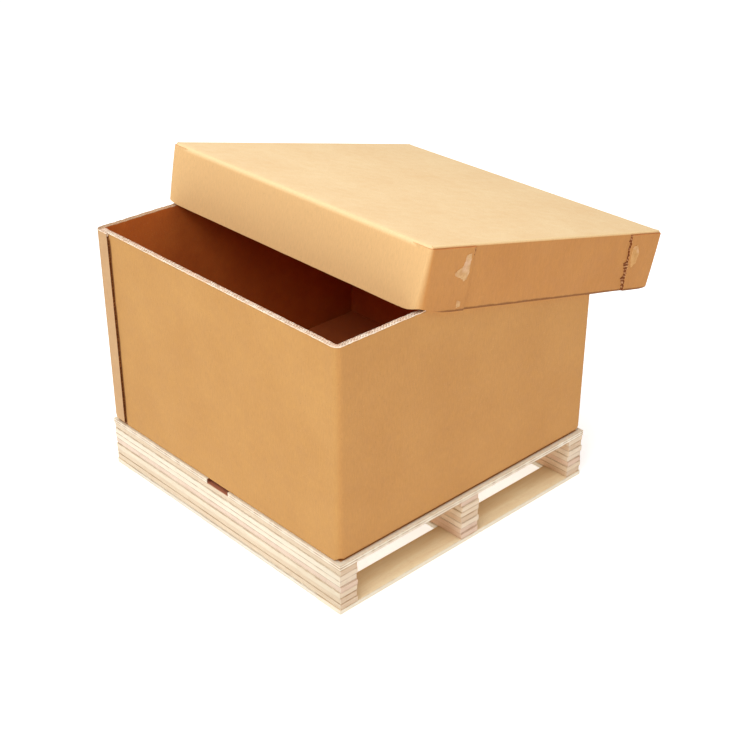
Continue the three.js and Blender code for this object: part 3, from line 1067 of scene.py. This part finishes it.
WHITE = (1.0, 1.0, 1.0, 1.0)
FLOOR_REACH = 60.0
FLOOR_COLOR = (0.93, 0.93, 0.93, 1.0)
FLOOR_GLOW = 0.52
SKY_GLOW = 0.51
LIT_PLACE = (0.0, 0.0, 0.5)


def floor():
    mesh = bpy.data.meshes.new("floor")
    size = FLOOR_REACH
    corners = [(-size, -size, 0), (size, -size, 0), (size, size, 0), (-size, size, 0)]
    mesh.from_pydata(corners, [], [(0, 1, 2, 3)])
    made = bpy.data.objects.new("floor", mesh)
    bpy.context.scene.collection.objects.link(made)
    material = bpy.data.materials.new("floor")
    material.use_nodes = True
    shader = material.node_tree.nodes["Principled BSDF"]
    shader.inputs["Base Color"].default_value = FLOOR_COLOR
    shader.inputs["Roughness"].default_value = 0.9
    shader.inputs["Specular IOR Level"].default_value = 0.1
    shader.inputs["Emission Color"].default_value = WHITE
    shader.inputs["Emission Strength"].default_value = FLOOR_GLOW
    mesh.materials.append(material)


def area_light(name, place, size, power):
    data = bpy.data.lights.new(name, "AREA")
    data.shape = "DISK"
    data.size = size
    data.energy = power
    lamp = bpy.data.objects.new(name, data)
    lamp.location = place
    lamp.rotation_euler = (Vector(LIT_PLACE) - Vector(place)).to_track_quat("-Z", "Y").to_euler()
    bpy.context.scene.collection.objects.link(lamp)


def studio():
    world = bpy.data.worlds.new("studio")
    bpy.context.scene.world = world
    world.use_nodes = True
    sky = world.node_tree.nodes["Background"]
    sky.inputs["Color"].default_value = WHITE
    sky.inputs["Strength"].default_value = SKY_GLOW
    area_light("key", (-3.2, -1.4, 4.4), 2.6, 115)
    area_light("overhead", (0.4, 0.6, 4.6), 3.4, 95)
    bpy.context.scene.view_settings.view_transform = "Standard"


# The whole object. A plywood's tints are its light plies, its dark ones and its glue lines.

STRIP_TINTS = (
    (rgb(243, 233, 212), rgb(228, 208, 174), rgb(208, 178, 138)),
    (rgb(236, 221, 196), rgb(214, 186, 150), rgb(190, 152, 112)),
    (rgb(246, 238, 220), rgb(234, 218, 188), rgb(216, 190, 154)),
    (rgb(240, 223, 205), rgb(220, 188, 160), rgb(198, 158, 126)),
)
DECK_TINTS = STRIP_TINTS[2]
CROSS_TINTS = (rgb(254, 238, 204), rgb(240, 210, 166), rgb(218, 180, 132))
BASE_TINTS = (rgb(240, 234, 220), rgb(226, 214, 192), rgb(206, 184, 154))


def dress_carton():
    outside = kraft("kraft_outside", rgb(207, 156, 91), rgb(193, 141, 79), outside=True)
    inside = kraft("kraft_inside", rgb(219, 121, 57), rgb(194, 95, 41), front=FAR_INSIDE_PAINTED_SHADE)
    rim_edge = cut_board("rim_edge", rgb(255, 244, 226), rgb(240, 206, 176), browned_beyond=INSIDE_Y)
    lap_end = open_flutes("lap_end", rgb(92, 46, 14), rgb(150, 96, 50), 0.25)
    lap = kraft("kraft_lap", rgb(212, 174, 128), rgb(196, 152, 106))
    hollow_paper = cut_board("hollow_paper", rgb(206, 160, 116), rgb(160, 108, 66))

    walls = carton_walls([outside, inside, rim_edge, lap_end, lap, hollow_paper])
    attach(walls, "root")
    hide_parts("carton")

    flutes = carton_flutes([rim_edge, hollow_paper])
    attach(flutes, "root")


def dress_lid():
    outside = kraft("lid_kraft", rgb(207, 150, 85), rgb(193, 134, 72), cap_place,
                    top_painted_sheen=rgb(234, 206, 160), upward_painted_light=rgb(246, 203, 142))
    cut = cut_board("lid_cut", rgb(250, 222, 184), rgb(230, 180, 132), cap_place)
    inside = kraft("lid_inside", rgb(204, 124, 62), rgb(182, 100, 46), cap_place)
    torn_end = open_flutes("lid_open", rgb(122, 66, 34), rgb(206, 152, 106), 0.55, cap_place)
    lid = lid_shell([outside, cut, inside, torn_end])
    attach(lid, "root")
    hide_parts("lid")

    torn_paper = cut_board("scrap_paper", rgb(220, 176, 124), rgb(200, 150, 98), cap_place)
    rubbed_paper = cut_board("rubbed_paper", rgb(216, 164, 104), rgb(204, 150, 90), cap_place)
    scraps = lid_scraps([torn_paper, rubbed_paper])
    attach(scraps, "root")


def paint(name, material):
    """Gives a node of the CAD model, which shows as it is, its material."""
    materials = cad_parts[name].data.materials
    materials.clear()
    materials.append(material)


def dress_pallet():
    strips = [plywood(f"plywood_{i + 1}", tints, seed=i) for i, tints in enumerate(STRIP_TINTS)]
    deck = plywood("plywood_deck", DECK_TINTS, seed=4, start=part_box("deck")[0].z, layer=DECK_VENEER)
    base = plywood("plywood_base", BASE_TINTS, seed=2, start=0.0, layer=BASE_BOARD)
    cross_board = plywood("plywood_board", CROSS_TINTS, seed=9, cross=True)
    pallet_nodes = sorted(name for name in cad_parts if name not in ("carton", "lid", "floor_pad"))
    for i, name in enumerate(pallet_nodes):
        if name == "deck":
            paint(name, deck)
        elif name.endswith("_board"):
            paint(name, cross_board)
        elif name.endswith("_base_strip"):
            paint(name, base)
        else:
            paint(name, strips[(i * 3 + i // 4) % len(strips)])


place_camera()
floor()
studio()
dress_carton()
dress_lid()
dress_pallet()
paint("floor_pad", kraft("pad_paper", rgb(226, 132, 68), rgb(204, 108, 52)))
